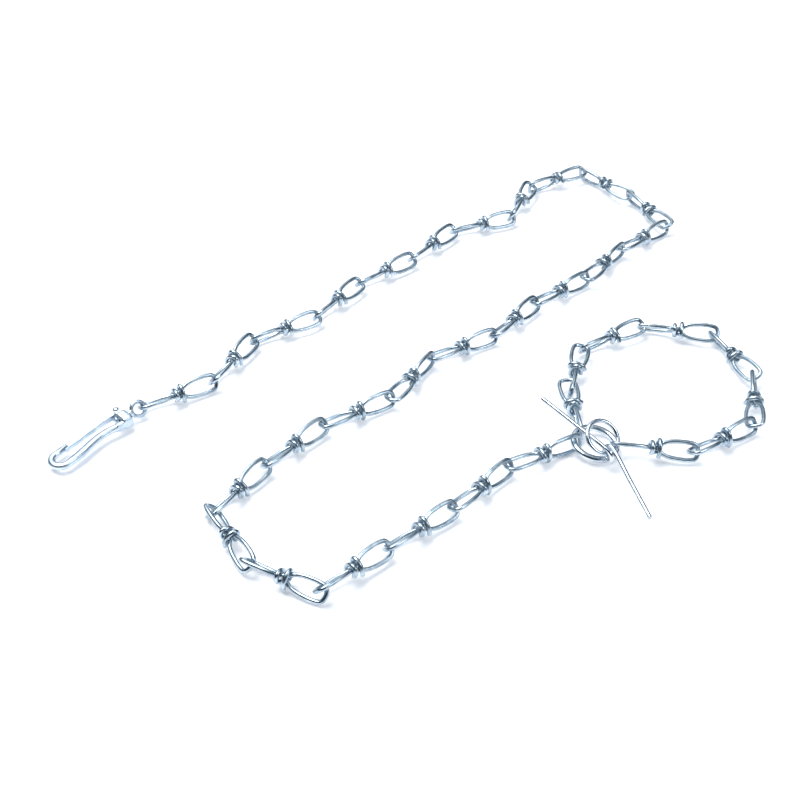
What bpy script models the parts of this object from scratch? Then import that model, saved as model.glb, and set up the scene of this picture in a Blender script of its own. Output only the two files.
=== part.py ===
"""Knotted tether chain with a spring snap hook, a coupling ring and a toggle neck loop.

Units are metres, +Z is up, and the chain lies on the plane z = 0.
Every chain link is one length of wire: two loops in planes at right angles,
tied together at the waist by the two wire ends.
The tether and the neck loop both start at the coupling ring and run outward.
"""

import math

import bpy
import bmesh
from mathutils import Matrix, Vector

# ---------------------------------------------------------------- link wire
LINK_WIRE = 0.0024           # wire diameter
PITCH = 0.042                # from one junction to the next
PLAY = 0.0005                # gap left between two wires that hang in each other
LOOP_HALF = 0.0045           # half width of a loop, to the middle of its wire
REACH = (PITCH + LINK_WIRE + PLAY) / 2      # knot centre to the end wire's middle
END_CORNER = 0.77            # how square a loop's end is: 0.71 is round, 1 is square
WAIST_HALF = 0.0014          # half width of a loop inside its knot
THROAT = ((0.0044, 0.0028), (0.0085, 0.0039))      # a strand leaving the knot: out, offset
CROSSING = 0.0008            # where the wire passes from one loop to the other
INNER_BEND = 0.0021          # where a wire end turns from its loop into its wrap
KNOT_OFFSET = 0.00195        # each wrap's distance from the knot centre
WRAP_SHORT = 0.00305         # wrap half sizes, to the middle of its wire
WRAP_LONG = 0.00445
WRAP_STEPS = 6
WRAP_TURN = 235.0            # degrees of each wrap, up to its tail
WRAP_TAIL = 0.0020           # straight, up to the cut end, which stands off the knot
CENTRE_HEIGHT = 0.0066       # height of the links' axes above the floor
WIRE_BEVEL = 1               # six-sided wire

# ---------------------------------------------------------------- rings
RING_WIRE = 0.0036           # coupling ring
RING_RADIUS = 0.01165
RING_CENTRE = Vector((0.0923, -0.0865, 0.0037))
RING_TILT = 10.0             # degrees, raised by the links that hang in it
RING_TILT_TOWARDS = 160.0
TOGGLE_RING_WIRE = 0.0024    # thin ring between the neck loop and the toggle
TOGGLE_RING_RADIUS = 0.0090
TOGGLE_RING_AXIS = Vector((0.84, -1.00, 1.76))
TOGGLE_RING_LINK_AT = -48.7  # where the last neck link holds it, in degrees round it
TOGGLE_RING_EYE_AT = -105.4  # where the toggle's eye hangs on it
RING_STEPS = 22
NECK_END_HEIGHT = 0.0111     # the last neck link lies across the coupling ring

# ---------------------------------------------------------------- lay of the chain
# One row for each link, from the coupling ring outward: heading and roll in degrees,
# and how many millimetres of slack there are between it and the link before.
TETHER_LAY = (
    (208, -80, 0), (226, -65, 0), (220, -50, 0), (222, -45, 0), (153, -45, 2.5), (121, -45, 2.5),
    (55, -45, 2.5), (48, -35, 0), (32, -20, 0), (58, -5, 0), (30, -20, 0), (51, -35, 0), (38, -20, 0),
    (52, -5, 0), (40, -20, 0.5), (118, -20, 0), (132, -15, 0), (210, -15, 0), (248, -30, 1),
    (203, -45, 0), (231, -45, 0), (220, -45, 0), (235, -35, 0), (213, -30, 0), (244, -45, 0),
    (212, -60, 0),
)
NECK_LAY = (
    (95, -95, 0), (76, -80, 10), (31, -62, 0), (-12, -50, 0), (-67, -60, 1.5), (-101, -72, 0.5),
    (-148, -60, 0), (-182, -50, 1.5),
)
TETHER_START = 182.0         # where the first tether link hangs on the coupling ring
NECK_START = 146.0           # where the first neck link hangs on it

# ---------------------------------------------------------------- snap hook
HOOK_HEADING = 223.0
HOOK_DIP = 2.6               # degrees that the hook slopes down to its nose
EYE_WIRE = 0.0024
EYE_RADIUS = 0.0040
SHANK_RADIUS = 0.0016
COLLAR_RADIUS = 0.0018       # the shank's thicker end, outside the housing
SHANK_END = 0.0150           # from the eye's centre to the end of the shank's head
HEAD_RADIUS = 0.0025
HEAD_LENGTH = 0.0016
HOUSING_START = 0.0066
HOUSING_END = 0.0129
HOUSING_HALF = 0.0034        # half thickness, across the hook's plane
HOUSING_SIDES = (-0.0029, 0.0062)
HOUSING_CHAMFER = 0.0012
BORE_RADIUS = 0.0020         # for the swivel's shank
BORE_LENGTH = 0.030
BORE_MIDDLE = 0.004
HEAD_PLAY = 0.0004           # round the shank's head
HEAD_ROOM = 0.0040
PIN_X = 0.0104               # gate pin, in the hook's plane
PIN_Y = -0.0048
PIN_RADIUS = 0.0008
PIN_HEAD_RADIUS = 0.0014
PIN_HEAD = 0.0006
CHEEK_THICKNESS = 0.0010
CHEEK_RADIUS = 0.0019
PIN_PLAY = 0.0003            # between the gate pin and what it passes through
GATE_HALF = 0.0020           # half width of the gate strip
GATE_THICKNESS = 0.0008
KNUCKLE_RADIUS = 0.0016
GATE_TIP = (0.0458, 0.0007)
BACK_SHAPE = (               # the hook's back: x, y, half width, half height
    (0.0100, 0.0044, 0.0017, 0.0021),
    (0.0160, 0.0044, 0.0019, 0.0020),
    (0.0205, 0.0038, 0.0020, 0.0019),
    (0.0265, 0.0041, 0.0021, 0.0019),
    (0.0330, 0.0056, 0.0023, 0.0019),
    (0.0405, 0.0079, 0.0024, 0.0019),
)
BOWL_CENTRE = (0.0503, 0.0046)
BOWL_RADIUS = 0.0053
BOWL_WIDTH = 0.0020          # half sizes of the bowl's section
BOWL_HEIGHT = 0.0019
NOSE_SHAPE = (               # the nose beyond the bowl, in the same terms as the back
    (0.0462, -0.0015, 0.0016, 0.0017),
    (0.0430, -0.0023, 0.0012, 0.0015),
)

# ---------------------------------------------------------------- toggle
TOGGLE_WIRE = 0.0024
TOGGLE_ARM = 0.0452
TOGGLE_SPLAY = 13.0          # degrees that each arm leans to one side
TOGGLE_EYE_RADIUS = 0.0038
TOGGLE_EYE_STEPS = 12
TOGGLE_HEADING = -58.5       # of the low arm, with its slope down to the floor
TOGGLE_DIP = 10.5


# ================================================================ helpers
def clear_scene():
    for obj in list(bpy.data.objects):
        bpy.data.objects.remove(obj, do_unlink=True)


def steel(name, colour, roughness):
    material = bpy.data.materials.new(name)
    material.use_nodes = True
    shader = material.node_tree.nodes["Principled BSDF"]
    shader.inputs["Base Color"].default_value = (*colour, 1.0)
    shader.inputs["Metallic"].default_value = 1.0
    shader.inputs["Roughness"].default_value = roughness
    return material


def frame(heading, roll=0.0, dip=0.0, place=(0, 0, 0)):
    """World matrix with X along the heading, sloping down by dip, rolled about X."""
    turn = Matrix.Rotation(math.radians(heading), 4, "Z")
    slope = Matrix.Rotation(math.radians(dip), 4, "Y")
    twist = Matrix.Rotation(math.radians(roll), 4, "X")
    return Matrix.Translation(place) @ turn @ slope @ twist


def frame_from(x_axis, z_axis, place):
    """World matrix with the given X, and Z as near as it can be to the given one."""
    x_axis = x_axis.normalized()
    y_axis = z_axis.cross(x_axis).normalized()
    z_axis = x_axis.cross(y_axis)
    turn = Matrix((x_axis, y_axis, z_axis)).transposed().to_4x4()
    return Matrix.Translation(place) @ turn


def axis_of(matrix, index):
    return matrix.to_3x3().col[index].normalized()


def add_object(name, data, world, material, parent=None):
    obj = bpy.data.objects.new(name, data)
    bpy.context.collection.objects.link(obj)
    if data is not None and material is not None and not data.materials:
        data.materials.append(material)
    set_parent(obj, world, parent)
    return obj


def set_parent(obj, world, parent):
    """Place obj at a world matrix, under a parent whose own world matrix is kept."""
    obj["world"] = [value for row in world for value in row]
    if parent is None:
        obj.matrix_basis = world
        return
    obj.parent = parent
    obj.matrix_basis = stored_world(parent).inverted() @ world


def stored_world(obj):
    values = list(obj["world"])
    return Matrix([values[4 * row:4 * row + 4] for row in range(4)])


def pivot(name, place, axis, parent):
    """An empty whose Z lies along a joint's axis."""
    axis = axis.normalized()
    world = Matrix.Translation(place) @ Vector((0, 0, 1)).rotation_difference(axis).to_matrix().to_4x4()
    empty = add_object("pivot_" + name, None, world, None, parent)
    empty.empty_display_size = 0.006
    return empty


def wire_curve(name, points, diameter, closed=False, bevel=WIRE_BEVEL):
    curve = bpy.data.curves.new(name, "CURVE")
    curve.dimensions = "3D"
    curve.bevel_depth = diameter / 2
    curve.bevel_resolution = bevel
    curve.use_fill_caps = True
    spline = curve.splines.new("POLY")
    spline.points.add(len(points) - 1)
    for point, place in zip(spline.points, points):
        point.co = (*place, 1.0)
    spline.use_cyclic_u = closed
    return curve


def mesh_from(name, build):
    mesh = bpy.data.meshes.new(name)
    work = bmesh.new()
    build(work)
    bmesh.ops.recalc_face_normals(work, faces=work.faces)
    work.to_mesh(mesh)
    work.free()
    mesh.shade_smooth()
    mesh.set_sharp_from_angle(angle=math.radians(35))
    return mesh


def cut(target, cutter, operation):
    cutter.hide_render = True
    cutter.display_type = "WIRE"
    modifier = target.modifiers.new(cutter.name, "BOOLEAN")
    modifier.operation = operation
    modifier.object = cutter


def add_cylinder(work, radius, length, matrix, sides):
    bmesh.ops.create_cone(work, cap_ends=True, segments=sides, radius1=radius,
                          radius2=radius, depth=length, matrix=matrix)


def add_prism(work, outline, half_height):
    """A flat outline in XY, closed top and bottom at plus and minus half_height."""
    rings = []
    for height in (-half_height, half_height):
        rings.append([work.verts.new((x, y, height)) for x, y in outline])
    low, high = rings
    count = len(outline)
    for i in range(count):
        work.faces.new((low[i], low[(i + 1) % count], high[(i + 1) % count], high[i]))
    work.faces.new(low[::-1])
    work.faces.new(high)


# ================================================================ chain link
def loop_half(side):
    """Half of a loop, from the waist to the end wire: (distance out, offset)."""
    shoulder = REACH - LOOP_HALF
    corner = LOOP_HALF * END_CORNER
    shape = [*THROAT, (shoulder, LOOP_HALF), (shoulder + corner, corner)]
    return [Vector((out, side * offset)) for out, offset in shape]


def loop_points(first_side):
    """A whole loop, from the strand on first_side round to the other strand."""
    end_wire = [Vector((REACH, 0.0))]
    return loop_half(first_side) + end_wire + loop_half(-first_side)[::-1]


def wrap_points(half_a, half_b, turn):
    """Points on an ellipse, from half_a on its first axis through half_b, and a straight tail."""
    points = []
    for i in range(WRAP_STEPS + 1):
        angle = math.radians(turn * i / WRAP_STEPS)
        points.append(Vector((half_a * math.cos(angle), half_b * math.sin(angle))))
    onward = Vector((-half_a * math.sin(angle), half_b * math.cos(angle))).normalized()
    return points + [points[-1] + onward * WRAP_TAIL]


def link_path():
    """The wire of one link: loop A on -X in the XY plane, loop B on +X in the XZ plane."""
    wrap_one = [Vector((KNOT_OFFSET, y, z)) for y, z in wrap_points(WRAP_SHORT, WRAP_LONG, WRAP_TURN)]
    loop_a = [Vector((-p.x, p.y, 0.0)) for p in loop_points(1)]
    crossing = [Vector((-KNOT_OFFSET, -WAIST_HALF, 0.0)), Vector((0.0, -CROSSING, CROSSING)),
                Vector((KNOT_OFFSET, 0.0, WAIST_HALF))]
    loop_b = [Vector((p.x, 0.0, p.y)) for p in loop_points(1)]
    wrap_two = [Vector((-KNOT_OFFSET, -y, -z)) for z, y in wrap_points(WRAP_SHORT, WRAP_LONG, WRAP_TURN)]
    into_two = [Vector((KNOT_OFFSET, 0.0, -WAIST_HALF)), Vector((0.0, 0.0, -INNER_BEND))]
    out_of_one = [Vector((0.0, INNER_BEND, 0.0)), Vector((-KNOT_OFFSET, WAIST_HALF, 0.0))]
    return wrap_one[::-1] + out_of_one + loop_a + crossing + loop_b + into_two + wrap_two


def contact_direction(parent_frame, child_frame, parent_wire, child_wire):
    """Direction from the child's end wire to the parent's, for two loops that pull."""
    ahead = axis_of(child_frame, 0)
    behind = axis_of(parent_frame, 0)
    by_parent = ahead - ahead.dot(parent_wire) * parent_wire
    by_child = behind - behind.dot(child_wire) * child_wire
    return (by_parent.normalized() + by_child.normalized()).normalized()


def outer_height(lay, index, last_height):
    """Height of a link's outer end: level with the next one's, half the contact's rise apart."""
    if index + 1 == len(lay):
        return last_height
    near = frame(*lay[index][:2])
    far = frame(*lay[index + 1][:2])
    rise = contact_direction(near, far, axis_of(near, 2), axis_of(far, 1)).z
    return CENTRE_HEIGHT + rise * (LINK_WIRE + PLAY + lay[index + 1][2] / 1000) / 2


def level_frame(heading, roll, start, end_height):
    """A link's frame, sloped so that its outer end comes to the given height."""
    dip = math.asin((start.z - end_height) / (2 * REACH))
    return frame(heading, roll, math.degrees(dip))


def lay_chain(names, lay, curve, material, ring, start_angle, last_height=CENTRE_HEIGHT):
    """Hang one link after another, the first on the coupling ring."""
    swing = (1, 1, -1, -1)
    parent = ring
    turn = coupling_frame() @ Matrix.Rotation(math.radians(start_angle), 4, "Z")
    end_place = turn @ Vector((RING_RADIUS, 0, 0))
    end_wire = axis_of(turn, 1)
    end_radius = RING_WIRE / 2
    parent_frame = frame(start_angle)
    for index, (name, (heading, roll, slack)) in enumerate(zip(names, lay)):
        link_frame = frame(heading, roll)
        own_wire = axis_of(link_frame, 1)
        towards = contact_direction(parent_frame, link_frame, end_wire, own_wire)
        own_end = end_place - towards * (end_radius + LINK_WIRE / 2 + PLAY + slack / 1000)
        link_frame = level_frame(heading, roll, own_end, outer_height(lay, index, last_height))
        own_wire = axis_of(link_frame, 1)
        world = Matrix.Translation(own_end + axis_of(link_frame, 0) * REACH) @ link_frame
        if index % 2 == 0:
            hinge = pivot(name, end_place, end_wire * swing[index % 4], parent)
        else:
            hinge = pivot(name, own_end, own_wire * swing[index % 4], parent)
        parent = add_object(name, curve, world, material, hinge)
        parent_frame = link_frame
        end_place = world @ Vector((REACH, 0, 0))
        end_wire = axis_of(link_frame, 2)
        end_radius = LINK_WIRE / 2
    return parent, world


# ================================================================ rings and toggle
def ring_curve(name, radius, diameter):
    points = []
    for i in range(RING_STEPS):
        angle = 2 * math.pi * i / RING_STEPS
        points.append((radius * math.cos(angle), radius * math.sin(angle), 0.0))
    return wire_curve(name, points, diameter, closed=True)


def coupling_frame():
    """The coupling ring's frame: nearly flat, raised on one side."""
    side = Matrix.Rotation(math.radians(RING_TILT_TOWARDS), 4, "Z")
    tilt = Matrix.Rotation(math.radians(-RING_TILT), 4, "Y")
    return Matrix.Translation(RING_CENTRE) @ side @ tilt @ side.inverted()


def add_coupling_ring(material):
    curve = ring_curve("coupling_ring", RING_RADIUS, RING_WIRE)
    return add_object("coupling_ring", curve, coupling_frame(), material)


def add_toggle_ring(material, last_link, last_world):
    """The thin ring hangs in the last neck link and leans up towards the open side."""
    end_place = last_world @ Vector((REACH, 0, 0))
    end_wire = axis_of(last_world, 2)
    hinge = pivot("toggle_ring", end_place, end_wire, last_link)
    axis = TOGGLE_RING_AXIS.normalized()
    level = Vector((0, 0, 1)).cross(axis).normalized()
    ring_turn = frame_from(level, axis, (0, 0, 0))
    at = math.radians(TOGGLE_RING_LINK_AT)
    outward = (ring_turn.to_3x3() @ Vector((math.cos(at), math.sin(at), 0)))
    wire_place = end_place - axis_of(last_world, 0) * (LINK_WIRE + PLAY)
    centre = wire_place - outward * TOGGLE_RING_RADIUS
    world = Matrix.Translation(centre) @ ring_turn
    curve = ring_curve("toggle_ring", TOGGLE_RING_RADIUS, TOGGLE_RING_WIRE)
    return add_object("toggle_ring", curve, world, material, hinge), world


def toggle_path():
    """Arm, one turn round the Y axis, arm: the eye hangs below the bar."""
    offset = (TOGGLE_WIRE + PLAY) / 2
    lean = math.radians(TOGGLE_SPLAY)
    reach = Vector((TOGGLE_ARM * math.cos(lean), -TOGGLE_ARM * math.sin(lean), 0.0))
    points = [Vector((-reach.x, reach.y - offset, 0.0))]
    for i in range(TOGGLE_EYE_STEPS + 1):
        share = i / TOGGLE_EYE_STEPS
        angle = math.radians(90 - 360 * share)
        points.append(Vector((TOGGLE_EYE_RADIUS * math.cos(angle), offset * (2 * share - 1),
                              TOGGLE_EYE_RADIUS * (math.sin(angle) - 1))))
    points.append(Vector((reach.x, reach.y + offset, 0.0)))
    return points


def add_toggle(material, toggle_ring, ring_world):
    at = math.radians(TOGGLE_RING_EYE_AT)
    outward = ring_world.to_3x3() @ Vector((math.cos(at), math.sin(at), 0))
    tangent = ring_world.to_3x3() @ Vector((-math.sin(at), math.cos(at), 0))
    wire_place = ring_world.translation + outward * TOGGLE_RING_RADIUS
    hinge = pivot("toggle_bar", wire_place, tangent, toggle_ring)
    turn = frame(TOGGLE_HEADING, dip=TOGGLE_DIP)
    centre = wire_place + axis_of(turn, 2) * TOGGLE_EYE_RADIUS
    world = Matrix.Translation(centre) @ turn
    curve = wire_curve("toggle_bar", toggle_path(), TOGGLE_WIRE, bevel=2)
    add_object("toggle_bar", curve, world, material, hinge)


# ================================================================ snap hook
def swept_bar(work, path, sides=10):
    """A closed bar along a path in the XY plane: rows are (x, y, half width, half height)."""
    rings = []
    for i, (x, y, width, height) in enumerate(path):
        before = Vector(path[max(i - 1, 0)][:2])
        after = Vector(path[min(i + 1, len(path) - 1)][:2])
        along = (after - before).normalized()
        across = Vector((-along.y, along.x))
        ring = []
        for k in range(sides):
            angle = 2 * math.pi * (k + 0.5) / sides
            out = width * math.cos(angle)
            ring.append(work.verts.new((x + across.x * out, y + across.y * out, height * math.sin(angle))))
        rings.append(ring)
    for low, high in zip(rings, rings[1:]):
        for k in range(sides):
            work.faces.new((low[k], low[(k + 1) % sides], high[(k + 1) % sides], high[k]))
    work.faces.new(rings[0][::-1])
    work.faces.new(rings[-1])


def hook_path():
    """Back, bowl and nose of the hook, as rows for swept_bar."""
    rows = list(BACK_SHAPE)
    for degrees in range(108, -100, -23):
        angle = math.radians(degrees)
        rows.append((BOWL_CENTRE[0] + BOWL_RADIUS * math.cos(angle),
                     BOWL_CENTRE[1] + BOWL_RADIUS * math.sin(angle), BOWL_WIDTH, BOWL_HEIGHT))
    return rows + list(NOSE_SHAPE)


def housing_outline():
    low, high = HOUSING_SIDES
    shoulder = HOUSING_START + HOUSING_CHAMFER
    return [(shoulder, low), (HOUSING_END, low), (HOUSING_END, high), (shoulder, high),
            (HOUSING_START, high - HOUSING_CHAMFER), (HOUSING_START, low + HOUSING_CHAMFER)]


def cheek_outline():
    """A lug round the gate pin, joined to the housing's side."""
    inside = HOUSING_SIDES[0] + 0.0008
    points = [(PIN_X + CHEEK_RADIUS, inside), (PIN_X - CHEEK_RADIUS, inside)]
    for degrees in range(180, 361, 30):
        angle = math.radians(degrees)
        points.append((PIN_X + CHEEK_RADIUS * math.cos(angle), PIN_Y + CHEEK_RADIUS * math.sin(angle)))
    return points


def shape_for(body, name, build_mesh, world, operation):
    """A hidden shape that is joined to a body or cut from it."""
    shape = add_object(name, mesh_from(name, build_mesh), world, None, body.parent)
    cut(body, shape, operation)


def cross_bore(body, name, radius, length, world, middle):
    """A round hole along the hook's X axis, centred at the given X."""
    turn = Matrix.Translation((middle, 0, 0)) @ Matrix.Rotation(math.pi / 2, 4, "Y")
    shape_for(body, name, lambda work: add_cylinder(work, radius, length, Matrix(), 16),
              world @ turn, "DIFFERENCE")


def add_hook_body(world, material, hinge):
    mesh = mesh_from("hook_body", lambda work: swept_bar(work, hook_path()))
    body = add_object("hook_body", mesh, world, material, hinge)
    shape_for(body, "hook_housing_shape", lambda work: add_prism(work, housing_outline(), HOUSING_HALF),
              world, "UNION")
    for side in (-1, 1):
        middle = side * (HOUSING_HALF - CHEEK_THICKNESS / 2)
        shape_for(body, "hook_cheek_shape",
                  lambda work: add_prism(work, cheek_outline(), CHEEK_THICKNESS / 2),
                  world @ Matrix.Translation((0, 0, middle)), "UNION")
    cross_bore(body, "hook_bore_cutter", BORE_RADIUS, BORE_LENGTH, world, BORE_MIDDLE)
    cross_bore(body, "hook_head_cutter", HEAD_RADIUS + HEAD_PLAY, HEAD_ROOM, world,
               HOUSING_END + HEAD_ROOM / 2)
    shape_for(body, "hook_pin_cutter",
              lambda work: add_cylinder(work, PIN_RADIUS + PIN_PLAY, 4 * HOUSING_HALF, Matrix(), 12),
              world @ Matrix.Translation((PIN_X, PIN_Y, 0)), "DIFFERENCE")
    return body


def gate_outline():
    """Round knuckle at the pin, then a flat strip to the inside of the nose."""
    tip = Vector(GATE_TIP)
    root = Vector((PIN_X, PIN_Y))
    along = (tip - root).normalized()
    across = Vector((-along.y, along.x))
    half = GATE_THICKNESS / 2
    points = []
    start = math.degrees(math.asin(half / KNUCKLE_RADIUS))
    for i in range(11):
        angle = math.radians(start + (360 - 2 * start) * i / 10)
        points.append(root + KNUCKLE_RADIUS * (math.cos(angle) * along + math.sin(angle) * across))
    points.append(tip - across * half)
    points.append(tip + across * half)
    return [(p.x, p.y) for p in points]


def add_gate(world, material, body):
    place = world @ Vector((PIN_X, PIN_Y, 0))
    hinge = pivot("gate_spring", place, axis_of(world, 2), body)
    gate = add_object("gate_spring",
                      mesh_from("gate_spring", lambda work: add_prism(work, gate_outline(), GATE_HALF)),
                      world, material, hinge)
    shape_for(gate, "gate_pin_cutter",
              lambda work: add_cylinder(work, PIN_RADIUS + PIN_PLAY, 4 * GATE_HALF, Matrix(), 12),
              world @ Matrix.Translation((PIN_X, PIN_Y, 0)), "DIFFERENCE")


def turned(work, profile, sides):
    """A closed body of revolution about Z from rows of (radius, height)."""
    rings = []
    for radius, height in profile:
        ring = []
        for k in range(sides):
            angle = 2 * math.pi * k / sides
            ring.append(work.verts.new((radius * math.cos(angle), radius * math.sin(angle), height)))
        rings.append(ring)
    for low, high in zip(rings, rings[1:]):
        for k in range(sides):
            work.faces.new((low[k], low[(k + 1) % sides], high[(k + 1) % sides], high[k]))
    work.faces.new(rings[0][::-1])
    work.faces.new(rings[-1])


def add_gate_pin(world, material, body):
    face = HOUSING_HALF + PIN_PLAY
    profile = [(PIN_HEAD_RADIUS * 0.7, -face - PIN_HEAD), (PIN_HEAD_RADIUS, -face - PIN_HEAD * 0.5),
               (PIN_HEAD_RADIUS, -face), (PIN_RADIUS, -face), (PIN_RADIUS, face),
               (PIN_HEAD_RADIUS, face), (PIN_HEAD_RADIUS, face + PIN_HEAD * 0.5),
               (PIN_HEAD_RADIUS * 0.7, face + PIN_HEAD)]
    mesh = mesh_from("gate_pin", lambda work: turned(work, profile, 12))
    return add_object("gate_pin", mesh, world @ Matrix.Translation((PIN_X, PIN_Y, 0)), material, body)


def add_torus(work, radius, wire, steps, sides):
    """A round ring about Z."""
    rings = []
    for i in range(steps):
        turn = Matrix.Rotation(2 * math.pi * i / steps, 4, "Z")
        ring = []
        for k in range(sides):
            angle = 2 * math.pi * (k + 0.5) / sides
            ring.append(work.verts.new(turn @ Vector((radius + wire / 2 * math.cos(angle), 0,
                                                      wire / 2 * math.sin(angle)))))
        rings.append(ring)
    for i, low in enumerate(rings):
        high = rings[(i + 1) % steps]
        for k in range(sides):
            work.faces.new((low[k], low[(k + 1) % sides], high[(k + 1) % sides], high[k]))


def add_swivel_eye(world, material, hinge):
    """Round eye in the XZ plane, with a shank that is headed over behind the housing."""
    ring = mesh_from("swivel_eye", lambda work: add_torus(work, EYE_RADIUS, EYE_WIRE, 24, 8))
    eye = add_object("swivel_eye", ring, world @ Matrix.Rotation(math.pi / 2, 4, "X"), material, hinge)
    head_start = SHANK_END - HEAD_LENGTH
    profile = [(COLLAR_RADIUS, EYE_RADIUS), (COLLAR_RADIUS, HOUSING_START - PLAY),
               (SHANK_RADIUS, HOUSING_START), (SHANK_RADIUS, head_start), (HEAD_RADIUS, head_start),
               (HEAD_RADIUS, head_start + HEAD_LENGTH * 0.7), (HEAD_RADIUS * 0.7, SHANK_END)]
    mesh = mesh_from("swivel_shank_shape", lambda work: turned(work, profile, 14))
    shank = add_object("swivel_shank_shape", mesh, world @ Matrix.Rotation(math.pi / 2, 4, "Y"), None, hinge)
    cut(eye, shank, "UNION")
    return eye


def add_snap_hook(material, gate_material, pin_material, last_link, last_world):
    end_place = last_world @ Vector((REACH, 0, 0))
    end_wire = axis_of(last_world, 2)
    hinge = pivot("swivel_eye", end_place, end_wire, last_link)
    heading = frame(HOOK_HEADING, dip=HOOK_DIP)
    along = axis_of(heading, 0)
    ring_wire = end_place - along * (LINK_WIRE / 2 + EYE_WIRE / 2 + PLAY)
    centre = ring_wire + along * EYE_RADIUS
    flat = Matrix.Translation(centre) @ heading
    eye_world = frame_from(along, end_wire.cross(along), centre)
    eye = add_swivel_eye(eye_world, material, hinge)
    swivel = pivot("hook_body", centre, along, eye)
    body = add_hook_body(flat, material, swivel)
    add_gate_pin(flat, pin_material, body)
    add_gate(flat, gate_material, body)


# ================================================================ assembly
def build():
    clear_scene()
    zinc = steel("zinc_wire", (0.72, 0.76, 0.80), 0.25)
    bright = steel("bright_ring", (0.78, 0.81, 0.84), 0.20)
    cast = steel("plated_hook", (0.70, 0.76, 0.82), 0.28)
    spring = steel("spring_steel", (0.66, 0.70, 0.74), 0.30)

    ring = add_coupling_ring(bright)
    curve = wire_curve("chain_link", link_path(), LINK_WIRE)

    count = len(TETHER_LAY)
    tether_names = [f"chain_link_{count - i:02d}" for i in range(count)]
    last_link, last_world = lay_chain(tether_names, TETHER_LAY, curve, zinc, ring, TETHER_START)
    add_snap_hook(cast, spring, bright, last_link, last_world)

    neck_names = [f"neck_link_{i + 1}" for i in range(len(NECK_LAY))]
    last_link, last_world = lay_chain(neck_names, NECK_LAY, curve, zinc, ring, NECK_START,
                                      NECK_END_HEIGHT)
    toggle_ring, ring_world = add_toggle_ring(bright, last_link, last_world)
    add_toggle(bright, toggle_ring, ring_world)


build()
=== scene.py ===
"""Looks of the knotted tether chain: fine wire links, rings, toggle and snap hook in bright zinc.

Units are metres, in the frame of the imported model. The chain's lay is the same list and the
same rule as in the part, so each fine link lies on the plain link that it stands for.
"""

import math

import bpy
import bmesh
import numpy as np
from mathutils import Matrix, Vector


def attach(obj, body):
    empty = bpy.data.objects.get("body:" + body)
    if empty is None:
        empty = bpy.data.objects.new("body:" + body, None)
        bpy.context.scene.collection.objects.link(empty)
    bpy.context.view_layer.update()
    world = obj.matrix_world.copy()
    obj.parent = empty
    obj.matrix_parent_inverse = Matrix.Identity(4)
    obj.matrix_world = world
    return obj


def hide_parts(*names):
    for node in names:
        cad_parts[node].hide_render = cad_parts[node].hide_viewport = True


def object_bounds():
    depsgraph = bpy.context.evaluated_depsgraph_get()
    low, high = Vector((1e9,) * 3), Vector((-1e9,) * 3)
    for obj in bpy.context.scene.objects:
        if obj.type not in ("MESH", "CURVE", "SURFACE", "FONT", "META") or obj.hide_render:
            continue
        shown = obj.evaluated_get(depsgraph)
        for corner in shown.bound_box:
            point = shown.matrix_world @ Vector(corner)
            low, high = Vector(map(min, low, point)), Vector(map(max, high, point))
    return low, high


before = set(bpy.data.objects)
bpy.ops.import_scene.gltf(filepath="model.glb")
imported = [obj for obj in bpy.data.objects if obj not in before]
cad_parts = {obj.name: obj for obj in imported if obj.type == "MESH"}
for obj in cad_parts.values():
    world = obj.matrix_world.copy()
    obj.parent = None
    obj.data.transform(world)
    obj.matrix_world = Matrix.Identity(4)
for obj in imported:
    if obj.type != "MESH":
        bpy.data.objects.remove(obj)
cad_low, cad_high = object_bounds()

# ---------------------------------------------------------------- the chain's sizes and lay
LINK_WIRE = 0.0024
PITCH = 0.042
PLAY = 0.0005
LOOP_HALF = 0.0045
REACH = (PITCH + LINK_WIRE + PLAY) / 2
END_CORNER = 0.77
WAIST_HALF = 0.0014
THROAT = ((0.0043, 0.0029), (0.0080, 0.0041))
CROSSING = 0.0008
INNER_BEND = 0.0021
KNOT_OFFSET = 0.00195
WRAP_SHORT = 0.00295
WRAP_LONG = 0.0043
WRAP_TURNS = (235.0, 228.0, 241.0)      # three links of the batch, cut a little differently
WRAP_STEPS = 12
WRAP_TAIL = 0.0020
CENTRE_HEIGHT = 0.0066

RING_WIRE = 0.0036
RING_RADIUS = 0.01165
RING_CENTRE = Vector((0.0923, -0.0865, 0.0037))
RING_TILT = 10.0
RING_TILT_TOWARDS = 160.0
RING_WELD = (0.90, 0.018, 0.05)         # place and width as shares of the ring, height of its radius
TOGGLE_RING_WIRE = 0.0024
TOGGLE_RING_RADIUS = 0.0090
TOGGLE_RING_AXIS = Vector((0.84, -1.00, 1.76))
TOGGLE_RING_LINK_AT = -48.7
TOGGLE_RING_EYE_AT = -105.4
TOGGLE_RING_WELD = (0.30, 0.012, 0.04)
WELD_RIPPLE = 0.012
WELD_RIPPLES = 90                       # in a whole turn of the ring
NECK_END_HEIGHT = 0.0111

# heading and roll in degrees, slack in millimetres, from the coupling ring outward
TETHER_LAY = (
    (208, -80, 0), (226, -65, 0), (220, -50, 0), (222, -45, 0), (153, -45, 2.5), (121, -45, 2.5),
    (55, -45, 2.5), (48, -35, 0), (32, -20, 0), (58, -5, 0), (30, -20, 0), (51, -35, 0), (38, -20, 0),
    (52, -5, 0), (40, -20, 0.5), (118, -20, 0), (132, -15, 0), (210, -15, 0), (248, -30, 1),
    (203, -45, 0), (231, -45, 0), (220, -45, 0), (235, -35, 0), (213, -30, 0), (244, -45, 0),
    (212, -60, 0),
)
NECK_LAY = (
    (95, -95, 0), (76, -80, 10), (31, -62, 0), (-12, -50, 0), (-67, -60, 1.5), (-101, -72, 0.5),
    (-148, -60, 0), (-182, -50, 1.5),
)
TETHER_START = 182.0
NECK_START = 146.0

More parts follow.
